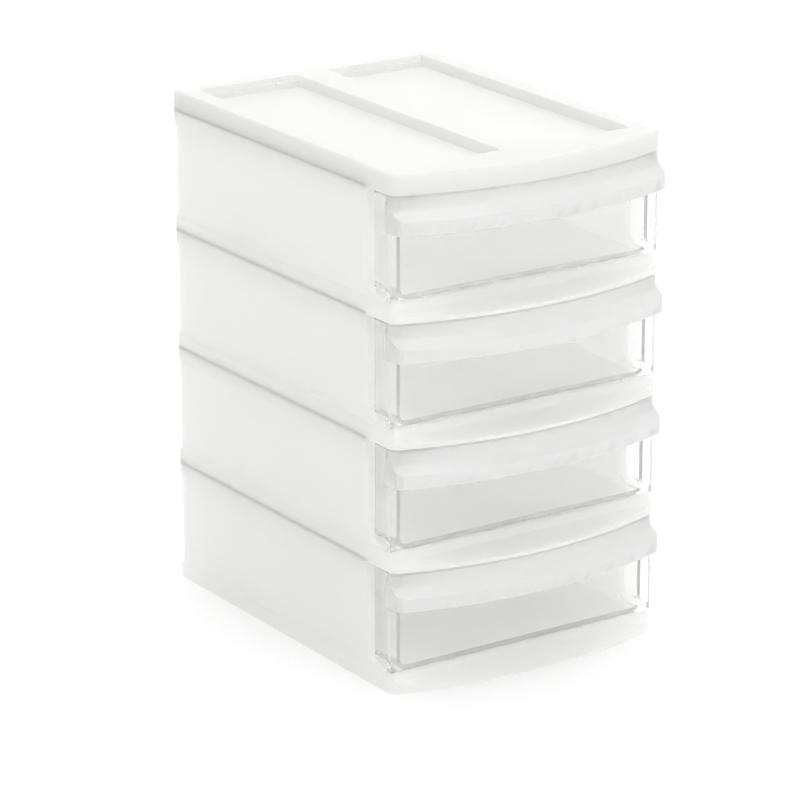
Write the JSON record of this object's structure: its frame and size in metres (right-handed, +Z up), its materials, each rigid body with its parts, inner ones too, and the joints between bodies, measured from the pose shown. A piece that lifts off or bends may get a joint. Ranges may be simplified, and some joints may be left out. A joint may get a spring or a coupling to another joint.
{
  "type": "desktop mini drawers",
  "caption": "Desktop organiser of stacked frosted plastic housings with clear pull-out drawers, bowed fronts with full-width grips, and a cover with shallow trays.",
  "frame": {"origin": "bottom centre of the box round the closed object", "axes": "+X across the width to the right seen from the front, -Y out of the drawers' fronts, +Z up"},
  "size_m": [0.141, 0.196, 0.233],
  "materials": {
    "frosted_plastic": "frosted translucent polypropylene",
    "white_plastic": "satin milky white",
    "clear_plastic": "clear, glossy outside"
  },
  "bodies": {
    "case": {"cover": "frosted_plastic", "housing_1": "frosted_plastic", "housing_2": "frosted_plastic", "housing_3": "frosted_plastic", "housing_4": "frosted_plastic"},
    "tray_1": {"drawer_1": "clear_plastic", "handle_1": "white_plastic"},
    "tray_2": {"drawer_2": "clear_plastic", "handle_2": "white_plastic"},
    "tray_3": {"drawer_3": "clear_plastic", "handle_3": "white_plastic"},
    "tray_4": {"drawer_4": "clear_plastic", "handle_4": "white_plastic"}
  },
  "joints": [
    {"name": "drawer_1_slide", "type": "slide", "parent": "case", "child": "tray_1", "axis": [0, -1, 0], "range_m": [0, 0.1245]},
    {"name": "drawer_2_slide", "type": "slide", "parent": "case", "child": "tray_2", "axis": [0, -1, 0], "range_m": [0, 0.1245]},
    {"name": "drawer_3_slide", "type": "slide", "parent": "case", "child": "tray_3", "axis": [0, -1, 0], "range_m": [0, 0.1245]},
    {"name": "drawer_4_slide", "type": "slide", "parent": "case", "child": "tray_4", "axis": [0, -1, 0], "range_m": [0, 0.1245]}
  ]
}
